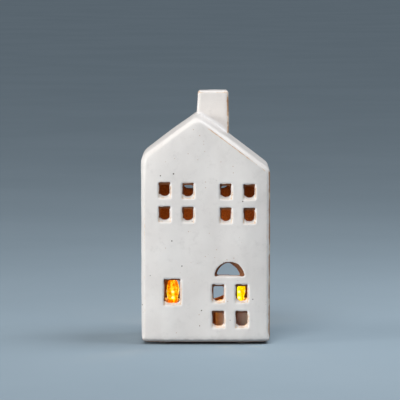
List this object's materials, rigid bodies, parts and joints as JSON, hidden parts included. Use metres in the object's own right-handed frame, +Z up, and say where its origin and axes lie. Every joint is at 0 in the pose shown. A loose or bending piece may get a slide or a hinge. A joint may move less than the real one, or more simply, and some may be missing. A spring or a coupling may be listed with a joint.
{
  "type": "ceramic house lantern",
  "caption": "Tall white-glazed stoneware house with a lopsided gable, chimney and cut-out windows, lit from inside by battery tea lights that lift out through the back.",
  "frame": {"origin": "centre of the outline at the level of the surface it stands on", "axes": "+Z up, -Y out of the front wall with the door, +X to the right seen from the front"},
  "size_m": [0.1, 0.075, 0.1935],
  "materials": {
    "glazed_stoneware": "satin white glaze",
    "felt": "dark felt",
    "candle_plastic": "wax-like ivory",
    "amber_lens": "translucent amber",
    "led_epoxy": "clear epoxy",
    "base_plastic": "moulded satin",
    "cell_steel": "nickel-plated",
    "contact_metal": "nickel-plated strip",
    "switch_plastic": "black"
  },
  "bodies": {
    "house": {"house_shell": "glazed_stoneware", "felt_feet": "felt"},
    "left_light": {"left_candle_cup": "candle_plastic", "left_flame_lens": "amber_lens", "left_led": "led_epoxy", "left_light_base": "base_plastic", "left_coin_cell": "cell_steel", "left_positive_contact": "contact_metal", "left_negative_contact": "contact_metal"},
    "left_cover": {"left_battery_cover": "base_plastic"},
    "left_switch": {"left_switch_slider": "switch_plastic"},
    "right_light": {"right_candle_cup": "candle_plastic", "right_flame_lens": "amber_lens", "right_led": "led_epoxy", "right_light_base": "base_plastic", "right_coin_cell": "cell_steel", "right_positive_contact": "contact_metal", "right_negative_contact": "contact_metal"},
    "right_cover": {"right_battery_cover": "base_plastic"},
    "right_switch": {"right_switch_slider": "switch_plastic"}
  },
  "joints": [
    {"name": "left_light_lift", "type": "slide", "parent": "house", "child": "left_light", "axis": [0, 0, 1], "range_m": [0, 0.03]},
    {"name": "left_cover_turn", "type": "hinge", "parent": "left_light", "child": "left_cover", "pos_m": [-0.0256, -0.0036, 0.0075], "axis": [0, 0, 1], "range_deg": [0, 30]},
    {"name": "left_switch_slide", "type": "slide", "parent": "left_light", "child": "left_switch", "axis": [1, 0, 0], "range_m": [0, 0.0025]},
    {"name": "right_light_lift", "type": "slide", "parent": "house", "child": "right_light", "axis": [0, 0, 1], "range_m": [0, 0.03]},
    {"name": "right_cover_turn", "type": "hinge", "parent": "right_light", "child": "right_cover", "pos_m": [0.0261, -0.0036, 0.0075], "axis": [0, 0, 1], "range_deg": [0, 30]},
    {"name": "right_switch_slide", "type": "slide", "parent": "right_light", "child": "right_switch", "axis": [1, 0, 0], "range_m": [0, 0.0025]}
  ]
}
